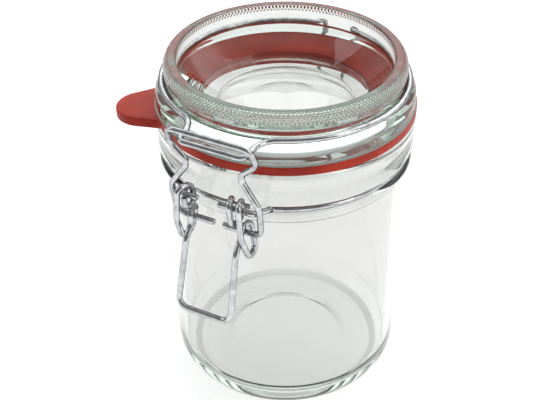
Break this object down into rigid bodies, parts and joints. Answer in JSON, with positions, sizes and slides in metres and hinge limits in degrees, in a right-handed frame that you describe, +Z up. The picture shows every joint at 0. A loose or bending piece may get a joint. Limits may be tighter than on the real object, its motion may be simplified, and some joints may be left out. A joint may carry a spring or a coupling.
{
  "type": "clip-top glass storage jar",
  "caption": "Small round clear-glass jar with a dished glass lid, a red rubber sealing ring with a pull tab, and a wire toggle closure.",
  "frame": {"origin": "on the jar's axis, in the plane that it stands on", "axes": "+Z up along the jar's axis, -Y towards the toggle closure, +Y towards the hinge"},
  "size_m": [0.0881, 0.106, 0.1212],
  "materials": {
    "clear_glass": "polished clear soda-lime glass with a faint green tint",
    "red_rubber": "satin orange-red rubber",
    "bright_wire": "bright zinc-plated steel wire"
  },
  "bodies": {
    "jar": {"jar_glass": "clear_glass", "neck_wire": "bright_wire", "neck_bridge": "bright_wire"},
    "lid": {"lid_glass": "clear_glass", "gasket": "red_rubber", "lid_wire": "bright_wire"},
    "lever": {"lever_wire": "bright_wire"},
    "bail": {"bail_wire": "bright_wire"}
  },
  "joints": [
    {"name": "lid_hinge", "type": "hinge", "parent": "jar", "child": "lid", "pos_m": [0, 0.046, 0.091], "axis": [-1, 0, 0], "range_deg": [0, 95]},
    {"name": "lever_pivot", "type": "hinge", "parent": "jar", "child": "lever", "pos_m": [0, -0.0454, 0.092], "axis": [-1, 0, 0], "range_deg": [0, 45]},
    {"name": "bail_pivot", "type": "hinge", "parent": "lever", "child": "bail", "pos_m": [0, -0.0448, 0.0842], "axis": [1, 0, 0], "range_deg": [0, 130]}
  ],
  "couplings": [
    {"joint": "lever_pivot", "follows": "lid_hinge", "ratio": 0.4736},
    {"joint": "bail_pivot", "follows": "lid_hinge", "ratio": 1.3684}
  ]
}
